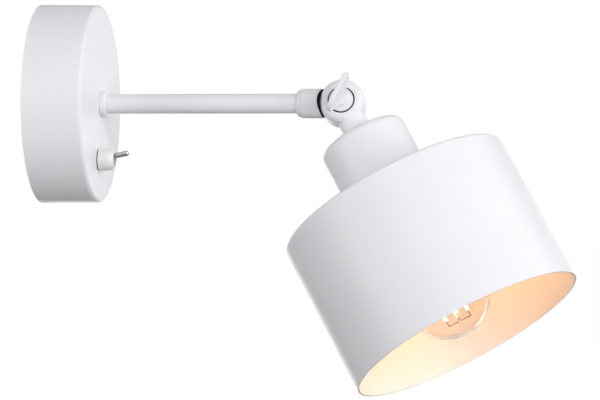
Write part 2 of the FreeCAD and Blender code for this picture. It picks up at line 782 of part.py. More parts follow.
def build_leads():
    """Straight runs of the insulated leads in the arm and in the head's hollow thread."""
    end_play = s.part_gap * 5
    arm_leads = Piece("arm_leads")
    ring_radius = s.arm_bore / 2 - s.wire_radius - s.part_gap * 3
    turns = [math.radians(angle) for angle in (90, 210, 330)]
    start = s.canopy_depth - s.arm_tail - end_play
    loops = [Circle(ring_radius * math.cos(a), ring_radius * math.sin(a), s.wire_radius)
             for a in turns]
    arm_leads.pad("YZ", start, arm_end - start, *loops)
    head_leads = head_piece("head_leads")
    ring_radius = s.nipple_bore / 2 - s.wire_radius - s.part_gap * 3
    loops = [Circle(ring_radius * math.cos(a), ring_radius * math.sin(a), s.wire_radius)
             for a in turns]
    head_leads.pad("YZ", nipple_start, core_start - nipple_start - end_play, *loops)


# Switch ------------------------------------------------------------------------------------

def switch_piece(label):
    """A piece drawn round the switch's own axis."""
    return Piece(label, z=-s.switch_drop)


def build_switch():
    body = switch_piece("switch_housing")
    half_width = s.switch_width / 2
    half_height = s.switch_height / 2
    body.pad("YZ", housing_back, s.switch_depth,
             rectangle(-half_width, half_width, -half_height, half_height))
    step = 0.8
    step_front = housing_front - step * 4
    step_edge = half_height - step * 3
    body.pocket("XZ", -half_width - step, step * 2,
                rectangle(housing_back - 1, step_front, -half_height - 1, -step_edge),
                rectangle(housing_back - 1, step_front, step_edge, half_height + 1))
    terminals = switch_piece("switch_terminals")
    half_lug = s.lug_width / 2
    half_thick = s.lug_thickness / 2
    centres = [k * s.lug_pitch for k in (-1, 0, 1)]
    lug_start = housing_back - s.lug_length
    terminals.pad("YZ", lug_start, s.lug_length,
                  *[rectangle(-half_lug, half_lug, z - half_thick, z + half_thick)
                    for z in centres])
    lug_hole = Circle(lug_start + s.lug_length / 3, 0, half_thick * 2)
    terminals.pocket("XY", -s.switch_height, s.switch_height * 2, lug_hole)
    bushing = switch_piece("switch_bushing")
    foot_front = housing_front + s.flange_thickness
    neck = s.bushing_diameter / 2
    bushing.turned("H", [
        (housing_front, s.bushing_bore / 2),
        (bushing_end, s.bushing_bore / 2),
        (bushing_end, neck),
        (foot_front, neck),
        (foot_front, s.bushing_flange / 2),
        (housing_front, s.bushing_flange / 2),
    ])
    female = neck + s.thread_gap
    washer_back = face_in - s.switch_washer_thickness
    ring(switch_piece("switch_washer"), washer_back, face_in, neck + s.part_gap, female + 2.6)
    hex_nut(switch_piece("switch_nut"), washer_back - s.switch_nut_thickness,
            s.switch_nut_thickness, s.switch_nut_flats, female)
    ring(switch_piece("switch_gasket"), s.canopy_depth, sleeve_start, female,
         s.sleeve_diameter / 2 - s.gasket_inset)
    sleeve = switch_piece("switch_sleeve")
    sleeve.turned("H", [
        (sleeve_start, female),
        (bushing_end + s.part_gap, female),
        (bushing_end + s.part_gap, s.sleeve_mouth / 2),
        (sleeve_end, s.sleeve_mouth / 2),
        (sleeve_end, s.sleeve_front / 2, s.sleeve_crown),
        (sleeve_start + s.sleeve_straight, s.sleeve_diameter / 2),
        (sleeve_start, s.sleeve_diameter / 2),
    ])
    pivot = s.canopy_depth - s.lever_pivot_depth
    lever = Piece("switch_lever", x=pivot, z=-s.switch_drop, turn=-s.lever_tilt)
    ball = s.bushing_bore / 2 - s.ball_play
    root = s.lever_root / 2
    tip = s.lever_tip / 2
    root_start = (ball * ball - root * root).root()
    lever.turned("H", [
        (-ball, 0, -ball),
        (0, ball, -ball),
        (root_start, root),
        (s.lever_length - tip, tip, -tip),
        (s.lever_length, 0),
    ])


# Knuckle -----------------------------------------------------------------------------------

def round_half(piece, side, edge):
    """One half of the knuckle: a disc with a rounded outer rim; side is +1 behind, -1 in front."""
    inner = side * half_gap
    outer = side * half_knuckle
    piece.turned("V", [
        (0, inner),
        (knuckle_radius, inner),
        (knuckle_radius, outer - side * edge, side * edge),
        (knuckle_radius - edge, outer),
        (0, outer),
    ])


def hollow_half(piece, side):
    """Cuts the ring-shaped wire chamber into a half."""
    chamber = [
        (s.hub_diameter / 2, side * half_gap),
        (chamber_radius, side * half_gap),
        (chamber_radius, side * (half_gap + s.chamber_depth)),
        (s.hub_diameter / 2, side * (half_gap + s.chamber_depth)),
    ]
    piece.turned("V", chamber, cut=True)


def line_mouth(piece, side, socket_radius):
    """A rubber crescent on a socket's hollow end, clear of the other half's round rim.

    side is +1 for the arm's socket, whose hollow faces the front half, and -1 for the head's.
    """
    mouth = knuckle_radius + s.mouth_clearance
    reach = knuckle_radius * 1.5
    piece.turned("H", [
        (-side * reach, 0),
        (0, 0),
        (0, socket_radius - s.liner_inset),
        (-side * reach, socket_radius - s.liner_inset),
    ])
    centre = side * (s.mouth_radius - mouth)
    outer = s.mouth_radius - s.part_gap
    length = reach * 2
    beyond = -side * reach * 2
    waste = [
        (beyond, -outer),
        (centre, -outer, -side * outer),
        (centre - side * outer, 0, -side * outer),
        (centre, outer),
        (beyond, outer),
    ]
    piece.pocket("XZ", -reach, length, waste)
    piece.pocket("XZ", -reach, length, Circle(centre, 0, outer - s.liner_thickness))
    start = -reach if side > 0 else -half_gap
    piece.pocket("XZ", start, reach + half_gap, rectangle(-reach, reach, -reach, reach))


def build_knuckle():
    reach = s.socket_reach
    mouth = knuckle_radius + s.mouth_clearance
    passage_y = half_gap + s.passage_wall + s.passage_radius
    thread = arm_thread_radius + s.thread_gap
    rear = Piece("knuckle_rear", x=s.pivot_reach)
    radius = s.socket_diameter / 2
    rear.turned("H", [
        (-reach, 0),
        (0, 0),
        (0, radius),
        (-reach + s.socket_edge, radius),
        (-reach, radius - s.socket_edge),
    ])
    rear.pocket("XZ", -half_gap, s.knuckle_thickness,
                Circle(s.mouth_radius - mouth, 0, s.mouth_radius))
    round_half(rear, 1, s.knuckle_edge)
    hollow_half(rear, 1)
    hole_end = s.screw_end + s.screw_hole_spare
    rear.pocket("XZ", -hole_end, hole_end + 1,
                Circle(0, 0, s.screw_diameter / 2 + s.thread_gap))
    rear.pocket("YZ", -reach - 1, s.thread_depth + s.part_gap * 2 + 1, Circle(0, 0, thread))
    rear.pocket("YZ", -reach + s.thread_depth - 1, reach - s.thread_depth - s.hub_diameter / 2,
                Circle(passage_y, 0, s.passage_radius))

    front = head_piece("knuckle_front")
    radius = s.stem_diameter / 2
    front.turned("H", [
        (0, 0),
        (s.stem_reach, 0),
        (s.stem_reach, radius - s.stem_edge),
        (s.stem_reach - s.stem_edge, radius),
        (0, radius),
    ])
    behind = s.knuckle_thickness
    front.pocket("XZ", -behind, behind + half_gap,
                 Circle(mouth - s.mouth_radius, 0, s.mouth_radius))
    round_half(front, -1, s.dome_edge)
    hollow_half(front, -1)
    front.pocket("XZ", 0, s.knuckle_thickness,
                 Circle(0, 0, s.screw_diameter / 2 + s.screw_clearance))
    front.pocket("XZ", half_knuckle - s.recess_depth, s.knuckle_thickness,
                 Circle(0, 0, s.recess_diameter / 2))
    front.pocket("YZ", nipple_start - s.part_gap * 2, s.stem_reach, Circle(0, 0, thread))
    front.pocket("YZ", s.hub_diameter / 2, nipple_start - s.hub_diameter / 2 + 1,
                 Circle(-passage_y, 0, s.passage_radius))

    line_mouth(Piece("mouth_liner", x=s.pivot_reach), 1, s.socket_diameter / 2)
    line_mouth(head_piece("head_mouth_liner"), -1, s.stem_diameter / 2)

    washer = Piece("friction_washer", x=s.pivot_reach)
    half_washer = half_gap - s.washer_play
    washer_rim = knuckle_radius - s.washer_inset
    washer_inner = chamber_radius + s.washer_margin
    washer.turned("V", rectangle(washer_inner, washer_rim, -half_washer, half_washer))


def build_wing_screw():
    """Shank, round foot in its seat, and two upright wings that are gripped to turn it."""
    piece = Piece("wing_screw", x=s.pivot_reach, turn=s.blade_turn)
    shank = s.screw_diameter / 2
    foot = s.recess_diameter / 2 - s.foot_play
    seat = half_knuckle - s.recess_depth + s.seat_play
    foot_top = half_knuckle + s.foot_proud
    crown = foot_top + s.foot_crown
    boss = s.wing_boss / 2
    boss_top = crown + s.wing_boss_height
    piece.turned("V", [
        (0, s.screw_end),
        (0, -boss_top),
        (boss, -boss_top),
        (boss, -crown),
        (foot, -foot_top),
        (foot, -seat),
        (shank, -seat),
        (shank, s.screw_end),
    ])
    lobe = s.blade_lobe
    top = half_knuckle + s.blade_height
    lobe_y = lobe - top
    lobe_z = s.blade_span / 2 - lobe
    lean_y = lobe * 0.6
    lean_z = lobe * 0.8
    waist = s.blade_waist / 2
    right = [
        (-foot_top, waist),
        (lobe_y + lean_y, lobe_z + lean_z, lobe),
        (lobe_y, lobe_z + lobe, lobe),
        (-top, lobe_z),
    ]
    left = [
        (-top, -lobe_z, lobe),
        (lobe_y, -lobe_z - lobe, lobe),
        (lobe_y + lean_y, -lobe_z - lean_z),
        (-foot_top, -waist),
    ]
    half_blade = s.blade_thickness / 2
    piece.pad("YZ", -half_blade, s.blade_thickness, right + left)
    clear_of_foot = -boss_top.value

    def on_wing_face(edge):
        box = edge.BoundBox
        flat = box.XLength < 1e-3 and abs(abs(box.XMin) - half_blade.value) < 1e-3
        return flat and box.YMin < clear_of_foot - 0.5

    piece.soften(s.blade_edge, on_wing_face)


# Head --------------------------------------------------------------------------------------

def build_cup_and_shade():
    thread_hole = arm_thread_radius + s.part_gap * 2
    spun_cup(head_piece("cup"), s.stem_reach, cup_bottom, cup_radius, s.cup_wall, s.cup_edge,
             thread_hole)
    spun_cup(head_piece("shade"), cup_bottom, shade_rim, s.shade_diameter / 2, s.shade_wall,
             s.shade_edge, skirt_radius + s.shade_hole_play)
    nipple = head_piece("hollow_thread")
    ring(nipple, nipple_start, nipple_start + s.nipple_length, s.nipple_bore / 2,
         arm_thread_radius)
    inside = s.stem_reach + s.cup_wall
    washer_end = inside + s.cup_washer_thickness
    toothed_washer(head_piece("cup_washer"), inside, washer_end, arm_thread_radius + s.part_gap,
                   s.arm_washer_diameter / 2)
    hex_nut(head_piece("cup_nut"), washer_end, s.cup_nut_thickness, s.arm_nut_flats,
            arm_thread_radius + s.thread_gap)
    shade_ring = head_piece("shade_ring")
    thread = skirt_radius + s.thread_gap
    rim = thread + s.ring_wall
    flange = rim + s.ring_reach
    shade_ring.turned("H", [
        (shade_under, thread),
        (shade_under + s.ring_height, thread),
        (shade_under + s.ring_height, rim),
        (shade_under + s.ring_flange, rim),
        (shade_under + s.ring_flange, flange),
        (shade_under, flange),
    ])
    grip = 1.0
    groove = Circle(rim + grip / 2, 0, grip)
    cut = shade_ring.pocket("YZ", shade_under + s.ring_flange, s.ring_height, groove)
    shade_ring.around(cut, "X", 24)


def build_holder():
    """Threaded lamp holder: moulded cap, inner block, screw shell and threaded skirt."""
    cap = head_piece("holder_cap")
    thread = arm_thread_radius + s.thread_gap
    outer = holder_radius
    wall = s.holder_wall
    boss = s.holder_boss / 2
    shoulder = holder_start + s.boss_height + s.holder_shoulder
    cap.turned("H", [
        (holder_start, thread),
        (holder_start, boss),
        (holder_start + s.boss_height, boss),
        (shoulder, outer),
        (skirt_start, outer),
        (skirt_start, outer - wall),
        (shoulder + wall / 2, outer - wall),
        (holder_start + s.boss_height + wall * 1.5, boss - wall / 2),
        (holder_start + s.boss_height + wall * 1.5, thread),
    ])
    core = head_piece("holder_core")
    reach = skirt_radius - wall - s.core_play
    core.pad("YZ", core_start, s.core_thickness, Circle(0, 0, reach))
    notch = 3.0
    for side in (-1, 1):
        core.pocket("YZ", core_start - 1, s.core_thickness / 2 + 1,
                    rectangle(-notch, notch, side * reach - notch, side * reach + notch))
    skirt = head_piece("holder_skirt")
    outer = skirt_radius
    end = skirt_start + s.skirt_length
    skirt.turned("H", [
        (skirt_start, outer),
        (end, outer),
        (end, s.skirt_mouth / 2),
        (end - s.skirt_lip, s.skirt_mouth / 2),
        (end - s.skirt_lip, outer - wall),
        (skirt_start, outer - wall),
    ])
    shell = head_piece("screw_shell")
    inner = s.shell_bore / 2
    wall = s.shell_wall
    shell.turned("H", [
        (core_end, inner - 3),
        (core_end + wall, inner - 3),
        (core_end + wall, inner),
        (core_end + s.shell_length, inner),
        (core_end + s.shell_length, inner + wall),
        (core_end, inner + wall),
    ])
    contact = head_piece("centre_contact")
    half = s.contact_width / 2
    contact.pad("YZ", core_end, s.contact_thickness, rectangle(-half, half, -half, half))


# Bulb --------------------------------------------------------------------------------------

def globe_wall(offset):
    """Corners of the envelope from neck to tip, set inwards by offset."""
    neck = bulb_cap_radius - s.cap_wall - s.neck_play - offset
    globe = s.bulb_diameter / 2 - offset
    fillet = s.neck_fillet + offset
    centre = bulb_tip - s.bulb_diameter / 2
    rise = neck + fillet
    reach = globe + fillet
    run = (reach * reach - rise * rise).root()
    share = globe / reach
    return neck, globe, fillet, centre, centre - run, centre - run * share, rise * share


def build_bulb():
    cap = head_piece("bulb_cap")
    radius = bulb_cap_radius
    wall = s.cap_wall
    shell_start = bulb_start + s.contact_height + s.insulator_height
    cap.turned("H", [
        (shell_start, s.insulator_diameter / 2 + wall / 2),
        (shell_start + wall * 4, radius),
        (cap_edge, radius),
        (cap_edge, radius - wall),
        (shell_start + wall * 5, radius - wall),
        (shell_start + wall, s.insulator_diameter / 2 - wall),
    ])
    insulator = head_piece("bulb_insulator")
    insulator.turned("H", [
        (bulb_start + s.contact_height, 0),
        (shell_start, 0),
        (shell_start, s.insulator_diameter / 2),
        (bulb_start + s.contact_height, s.contact_diameter / 2 + wall),
    ])
    contact = head_piece("bulb_contact")
    contact.turned("H", [
        (bulb_start, 0),
        (bulb_start + s.contact_height, 0),
        (bulb_start + s.contact_height, s.contact_diameter / 2),
        (bulb_start, s.contact_diameter / 2 - s.contact_height),
    ])
    glass = head_piece("bulb_glass")
    neck, globe, fillet, centre, start, tangent, height = globe_wall(as_size(0))
    in_neck, in_globe, in_fillet, _, in_start, in_tangent, in_height = globe_wall(s.glass_wall)
    neck_end = cap_edge - s.insulator_height
    glass.turned("H", [
        (neck_end, neck),
        (neck_end, in_neck),
        (in_start, in_neck, in_fillet),
        (in_tangent, in_height, -in_globe),
        (centre, in_globe, -in_globe),
        (centre + in_globe, 0),
        (centre + globe, 0, globe),
        (centre, globe, globe),
        (tangent, height, -fillet),
        (start, neck),
    ])
    mount = head_piece("bulb_mount")
    rod = s.mount_radius
    mount_end = cap_edge + s.mount_height
    flare = in_neck - s.part_gap
    mount.turned("H", [
        (neck_end, 0),
        (mount_end, 0),
        (mount_end, rod),
        (cap_edge, rod * 1.5),
        (neck_end + 1, flare),
        (neck_end, flare),
    ])
    pillar_end = mount_end + s.pillar_length
    pillar = head_piece("bulb_pillar")
    pillar.pad("YZ", mount_end, s.pillar_length, Circle(0, 0, s.pillar_radius))
    build_filaments(mount_end, pillar_end)


def build_filaments(mount_end, pillar_end):
    """Four light sticks round the pillar, and the bent wires that hold them by their ends."""
    wire = s.support_radius
    crown = pillar_end - wire * 2
    high = crown - wire - s.filament_post
    low = high - s.filament_length
    base = low - s.filament_post
    filaments = head_piece("filaments")
    profile = [
        (low, s.filament_low - s.filament_radius),
        (low, s.filament_low + s.filament_radius),
        (high, s.filament_high + s.filament_radius),
        (high, s.filament_high - s.filament_radius),
    ]
    stick = filaments.pad("XY", -s.filament_radius, s.filament_radius * 2, profile)
    filaments.around(stick, "X", 4)
    supports = head_piece("filament_supports")
    lower_wire = [
        (base - wire, s.pillar_radius),
        (base + wire, s.pillar_radius),
        (base + wire, s.filament_low - wire),
        (low, s.filament_low - wire),
        (low, s.filament_low + wire),
        (base - wire, s.filament_low + wire),
    ]
    upper_wire = [
        (crown + wire, s.pillar_radius),
        (crown + wire, s.filament_high + wire),
        (high, s.filament_high + wire),
        (high, s.filament_high - wire),
        (crown - wire, s.filament_high - wire),
        (crown - wire, s.pillar_radius),
    ]
    arms = supports.pad("XY", -wire, wire * 2, lower_wire, upper_wire)
    supports.around(arms, "X", 4)


# Build and export --------------------------------------------------------------------------

def check_and_export():
    """Stops on any failed feature or empty shape, then writes one file for each piece."""
    DOC.recompute()
    for item in DOC.Objects:
        if "Invalid" in item.State or "Error" in item.State:
            raise ValueError(f"{item.Label} is {item.State}")
    for piece in PIECES:
        shape = piece.body.Shape
        if shape.isNull() or not shape.isValid() or not shape.Solids:
            raise ValueError(f"{piece.body.Label} has no valid shape")
    os.makedirs("parts", exist_ok=True)
    for piece in PIECES:
        shape = piece.body.Shape
        shape.exportStep(f"parts/{piece.body.Label}.step")
        box = shape.BoundBox
        print(f"{piece.body.Label:20s} {len(shape.Solids)} solids  {shape.Volume:10.1f} mm3  "
              f"x {box.XMin:.1f}..{box.XMax:.1f}  y {box.YMin:.1f}..{box.YMax:.1f}  "
              f"z {box.ZMin:.1f}..{box.ZMax:.1f}")


build_bracket()
build_canopy()
build_canopy_screws()
build_terminal_block()
build_terminal_inserts()
build_clamp_screws()
build_block_screw()
build_earth_terminal()
build_arm()
build_leads()
build_switch()
build_knuckle()
build_wing_screw()
build_cup_and_shade()
build_holder()
build_bulb()
check_and_export()
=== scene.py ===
"""Bedside wall reading lamp: finishes, rolled threads, a black ring of painted shade in the wing screw's
seat, wall leads, light and camera.
"""

import json
import math

import bmesh
import bpy
from mathutils import Matrix, Vector

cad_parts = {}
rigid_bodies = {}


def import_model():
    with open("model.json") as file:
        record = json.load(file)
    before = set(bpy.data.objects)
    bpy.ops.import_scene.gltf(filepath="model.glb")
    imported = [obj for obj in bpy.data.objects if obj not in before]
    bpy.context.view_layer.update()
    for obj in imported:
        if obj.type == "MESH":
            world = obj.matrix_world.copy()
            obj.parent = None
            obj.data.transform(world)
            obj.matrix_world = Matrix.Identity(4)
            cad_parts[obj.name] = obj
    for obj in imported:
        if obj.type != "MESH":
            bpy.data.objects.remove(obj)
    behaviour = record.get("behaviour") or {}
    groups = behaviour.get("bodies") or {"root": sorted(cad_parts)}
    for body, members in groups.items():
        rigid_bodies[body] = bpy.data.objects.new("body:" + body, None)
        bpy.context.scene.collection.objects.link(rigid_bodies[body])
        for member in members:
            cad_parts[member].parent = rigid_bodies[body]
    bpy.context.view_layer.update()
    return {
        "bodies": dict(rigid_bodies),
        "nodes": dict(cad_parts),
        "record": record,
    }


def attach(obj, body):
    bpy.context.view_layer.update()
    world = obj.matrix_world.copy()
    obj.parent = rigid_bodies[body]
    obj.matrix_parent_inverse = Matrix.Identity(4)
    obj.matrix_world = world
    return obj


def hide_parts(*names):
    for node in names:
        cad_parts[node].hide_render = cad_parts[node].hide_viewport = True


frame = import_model()

# Places in metres, with the wall plate's middle on the wall at the origin.
PIVOT = Vector((0.1604, 0.0, 0.0))
DROOP = math.radians(61.0)
MM = 0.001

PHOTO_WIDTH = 600
HEAD_AIM = (0.15, 0.0, -0.05)
PLATE_AIM = (0.1, 0.0, -0.02)


# Shader trees ------------------------------------------------------------------------------

class Tree:
    """Adds nodes to a tree and feeds each input a link or a plain value."""

    def __init__(self, tree):
        self.tree = tree

    def feed(self, node, key, value):
        socket = node.inputs[key]
        if isinstance(value, bpy.types.NodeSocket):
            self.tree.links.new(value, socket)
        else:
            socket.default_value = value

    def add(self, kind, inputs=None, **settings):
        node = self.tree.nodes.new(kind)
        for name, value in settings.items():
            setattr(node, name, value)
        for key, value in (inputs or {}).items():
            self.feed(node, key, value)
        return node

    def maths(self, operation, first, second=0.0, clamp=False):
        node = self.add("ShaderNodeMath", {0: first, 1: second}, operation=operation)
        node.use_clamp = clamp
        return node.outputs[0]

    def noise(self, vector, scale, detail=2.0, roughness=0.5):
        node = self.add("ShaderNodeTexNoise",
                        {"Vector": vector, "Scale": scale, "Detail": detail, "Roughness": roughness})
        return node.outputs["Fac"]

    def remap(self, value, low, high, to_low=0.0, to_high=1.0):
        node = self.add("ShaderNodeMapRange",
                        {"Value": value, "From Min": low, "From Max": high,
                         "To Min": to_low, "To Max": to_high})
        return node.outputs["Result"]

    def mix_colour(self, share, first, second):
        node = self.add("ShaderNodeMix", {0: share}, data_type="RGBA")
        self.feed(node, 6, first)
        self.feed(node, 7, second)
        return node.outputs[2]


def new_group(name, takes, gives):
    """An empty shader group with named sockets; returns its tree and its two end nodes."""
    group = bpy.data.node_groups.new(name, "ShaderNodeTree")
    for label, kind, value in takes:
        socket = group.interface.new_socket(name=label, in_out="INPUT", socket_type=kind)
        if value is not None:
            socket.default_value = value
    for label, kind in gives:
        group.interface.new_socket(name=label, in_out="OUTPUT", socket_type=kind)
    tree = Tree(group)
    return tree, tree.add("NodeGroupInput"), tree.add("NodeGroupOutput")


NUMBER = "NodeSocketFloat"
COLOUR = "NodeSocketColor"
VECTOR = "NodeSocketVector"


def make_tone_group():
    """Slow, faint drift of a finish between two colours, with a little fine mottling."""
    tree, takes, gives = new_group(
        "tone_drift",
        [("Position", VECTOR, None), ("Light", COLOUR, (0.8, 0.8, 0.8, 1)),
         ("Dark", COLOUR, (0.7, 0.7, 0.7, 1)), ("Patch Scale", NUMBER, 18.0),
         ("Fine Scale", NUMBER, 420.0)],
        [("Color", COLOUR), ("Mask", NUMBER)])
    patches = tree.noise(takes.outputs["Position"], takes.outputs["Patch Scale"], 3.0)
    fine = tree.noise(takes.outputs["Position"], takes.outputs["Fine Scale"], 2.0)
    patches = tree.remap(patches, 0.3, 0.7, 0.0, 0.75)
    fine = tree.remap(fine, 0.3, 0.7, 0.0, 0.25)
    mask = tree.maths("ADD", patches, fine, clamp=True)
    tree.feed(gives, "Mask", mask)
    tree.feed(gives, "Color", tree.mix_colour(mask, takes.outputs["Light"], takes.outputs["Dark"]))
    return tree.tree


def make_skin_group():
    """Height of a sprayed and baked coat: soft orange peel with a few pin points of dust."""
    tree, takes, gives = new_group(
        "coat_skin",
        [("Position", VECTOR, None), ("Peel Scale", NUMBER, 700.0), ("Peel", NUMBER, 0.7),
         ("Nibs", NUMBER, 0.3)],
        [("Height", NUMBER)])
    peel = tree.noise(takes.outputs["Position"], takes.outputs["Peel Scale"], 1.5, 0.4)
    broad = tree.maths("MULTIPLY", takes.outputs["Peel Scale"], 0.22)
    broad = tree.noise(takes.outputs["Position"], broad, 1.0)
    peel = tree.maths("ADD", tree.maths("MULTIPLY", peel, 0.7), tree.maths("MULTIPLY", broad, 0.3))
    cells = tree.add("ShaderNodeTexVoronoi", {"Vector": takes.outputs["Position"], "Scale": 210.0})
    nibs = tree.remap(cells.outputs["Distance"], 0.0, 0.09, 1.0, 0.0)
    rare = tree.noise(takes.outputs["Position"], 60.0, 1.0)
    rare = tree.remap(rare, 0.6, 0.66)
    nibs = tree.maths("MULTIPLY", nibs, rare, clamp=True)
    height = tree.maths("MULTIPLY", peel, takes.outputs["Peel"])
    lift = tree.maths("MULTIPLY", nibs, takes.outputs["Nibs"])
    tree.feed(gives, "Height", tree.maths("ADD", height, lift))
    return tree.tree


def make_edge_group():
    """Where a surface turns sharply: 1 on worn edges, broken up by noise."""
    tree, takes, gives = new_group(
        "edge_wear",
        [("Position", VECTOR, None), ("Width", NUMBER, 0.0006), ("Break Scale", NUMBER, 260.0),
         ("Amount", NUMBER, 0.6)],
        [("Mask", NUMBER)])
    rounded = tree.add("ShaderNodeBevel", {"Radius": takes.outputs["Width"]}, samples=4)
    shape = tree.add("ShaderNodeNewGeometry")
    dot = tree.add("ShaderNodeVectorMath",
                   {0: rounded.outputs["Normal"], 1: shape.outputs["Normal"]},
                   operation="DOT_PRODUCT")
    turn = tree.remap(dot.outputs["Value"], 0.99, 0.86)
    breaks = tree.noise(takes.outputs["Position"], takes.outputs["Break Scale"], 3.0)
    breaks = tree.remap(breaks, 0.42, 0.62)
    worn = tree.maths("MULTIPLY", turn, breaks)
    tree.feed(gives, "Mask", tree.maths("MULTIPLY", worn, takes.outputs["Amount"], clamp=True))
    return tree.tree


def make_streak_group():
    """Fine lines left by turning, rolling or drawing, along one axis of the position."""
    tree, takes, gives = new_group(
        "machine_lines",
        [("Position", VECTOR, None), ("Along", VECTOR, (1.0, 1.0, 0.02)),
         ("Line Scale", NUMBER, 2600.0)],
        [("Height", NUMBER), ("Mask", NUMBER)])
    stretched = tree.add("ShaderNodeVectorMath",
                         {0: takes.outputs["Position"], 1: takes.outputs["Along"]},
                         operation="MULTIPLY")
    lines = tree.noise(stretched.outputs["Vector"], takes.outputs["Line Scale"], 3.0, 0.6)
    broad = tree.maths("MULTIPLY", takes.outputs["Line Scale"], 0.12)
    bands = tree.noise(stretched.outputs["Vector"], broad, 2.0)
    tree.feed(gives, "Height", lines)
    tree.feed(gives, "Mask", tree.remap(bands, 0.35, 0.65))
    return tree.tree


def make_dust_group():
    """Thin dust that settles on faces that look up."""
    tree, takes, gives = new_group(
        "settled_dust",
        [("Position", VECTOR, None), ("Amount", NUMBER, 0.2)],
        [("Mask", NUMBER)])
    shape = tree.add("ShaderNodeNewGeometry")
    facing = tree.add("ShaderNodeSeparateXYZ", {0: shape.outputs["Normal"]}).outputs["Z"]
    upward = tree.remap(facing, 0.25, 0.95)
    clumps = tree.noise(takes.outputs["Position"], 320.0, 4.0, 0.7)
    clumps = tree.remap(clumps, 0.35, 0.75)
    mask = tree.maths("MULTIPLY", upward, clumps)
    tree.feed(gives, "Mask", tree.maths("MULTIPLY", mask, takes.outputs["Amount"], clamp=True))
    return tree.tree


GROUPS = {
    "tone": make_tone_group(),
    "skin": make_skin_group(),
    "edge": make_edge_group(),
    "streak": make_streak_group(),
    "dust": make_dust_group(),
}


def start_material(name):
    """A material with its shader, its output and the object's own position."""
    material = bpy.data.materials.new(name)
    material.use_nodes = True
    material.node_tree.nodes.clear()
    tree = Tree(material.node_tree)
    shader = tree.add("ShaderNodeBsdfPrincipled")
    output = tree.add("ShaderNodeOutputMaterial")
    tree.feed(output, "Surface", shader.outputs["BSDF"])
    position = tree.add("ShaderNodeTexCoord").outputs["Object"]
    return material, tree, shader, position


def place_group(tree, key, position, **values):
    """One of the shared groups, with its own values for this material."""
    node = tree.add("ShaderNodeGroup", node_tree=GROUPS[key])
    tree.feed(node, "Position", position)
    for name, value in values.items():
        tree.feed(node, name.replace("_", " "), value)
    return node


def raise_surface(tree, shader, height, distance):
    """Feeds a height to the shader's normal; the distance is the relief in metres."""
    bump = tree.add("ShaderNodeBump", {"Height": height, "Distance": distance, "Strength": 1.0})
    tree.feed(shader, "Normal", bump.outputs["Normal"])


def grey(level, warmth=0.0):
    """A near neutral colour; warmth shifts it towards yellow."""
    return (level * (1 + warmth), level, level * (1 - warmth), 1.0)


def coat_finish(name, light, dark, rough, peel, peel_scale=700.0, wear=0.35, worn=None,
                depth=0.00002, nibs=0.3, dusty=0.16, shine=0.5):
    """Sprayed or moulded skin: drifting tone, orange peel, worn edges and a little dust."""
    material, tree, shader, position = start_material(name)
    tone = place_group(tree, "tone", position, Light=light, Dark=dark)
    skin = place_group(tree, "skin", position, Peel_Scale=peel_scale, Peel=peel, Nibs=nibs)
    edge = place_group(tree, "edge", position, Amount=wear)
    dust = place_group(tree, "dust", position, Amount=dusty)
    colour = tree.mix_colour(edge.outputs["Mask"], tone.outputs["Color"], worn or light)
    colour = tree.mix_colour(dust.outputs["Mask"], colour, grey(0.62, 0.03))
    tree.feed(shader, "Base Color", colour)
    roughness = tree.remap(tone.outputs["Mask"], 0.0, 1.0, rough - 0.05, rough + 0.05)
    dulled = tree.maths("MULTIPLY", dust.outputs["Mask"], 0.4)
    tree.feed(shader, "Roughness", tree.maths("ADD", roughness, dulled))
    shader.inputs["Specular IOR Level"].default_value = shine
    raise_surface(tree, shader, skin.outputs["Height"], depth)
    return material


def metal_finish(name, light, dark, rough, along=(1.0, 1.0, 0.03), line_scale=2600.0, wear=0.4,
                 worn=None, depth=0.000008):
    """Bare or plated metal: drawn lines, tarnish in patches and bright worn edges."""
    material, tree, shader, position = start_material(name)
    tone = place_group(tree, "tone", position, Light=light, Dark=dark, Patch_Scale=70.0)
    lines = place_group(tree, "streak", position, Along=along, Line_Scale=line_scale)
    edge = place_group(tree, "edge", position, Amount=wear, Width=0.0003)
    colour = tree.mix_colour(edge.outputs["Mask"], tone.outputs["Color"], worn or light)
    tree.feed(shader, "Base Color", colour)
    shader.inputs["Metallic"].default_value = 1.0
    tree.feed(shader, "Roughness",
              tree.remap(lines.outputs["Mask"], 0.0, 1.0, rough - 0.04, rough + 0.07))
    raise_surface(tree, shader, lines.outputs["Height"], depth)
    return material


def glass_finish(name, tint, rough):
    """Blown glass: faint waviness of the wall and a trace of haze."""
    material, tree, shader, position = start_material(name)
    tone = place_group(tree, "tone", position, Light=tint, Dark=grey(0.94), Patch_Scale=45.0)
    tree.feed(shader, "Base Color", tone.outputs["Color"])
    shader.inputs["Transmission Weight"].default_value = 1.0
    shader.inputs["IOR"].default_value = 1.25
    tree.feed(shader, "Roughness", tree.remap(tone.outputs["Mask"], 0.0, 1.0, rough, rough + 0.015))
    waves = tree.noise(position, 90.0, 1.0)
    raise_surface(tree, shader, waves, 0.00004)
    return material


def glow_finish(name, colour, strength):
    """Coated light stick: a grainy coat that glows, a little unevenly along its length."""
    material, tree, shader, position = start_material(name)
    tone = place_group(tree, "tone", position, Light=colour, Dark=(0.95, 0.5, 0.12, 1.0),
                       Patch_Scale=500.0, Fine_Scale=2600.0)
    skin = place_group(tree, "skin", position, Peel_Scale=3200.0, Peel=1.0, Nibs=0.0)
    tree.feed(shader, "Base Color", tone.outputs["Color"])
    tree.feed(shader, "Emission Color", tone.outputs["Color"])
    shader.inputs["Emission Strength"].default_value = strength
    shader.inputs["Roughness"].default_value = 0.5
    raise_surface(tree, shader, skin.outputs["Height"], 0.00003)
    return material


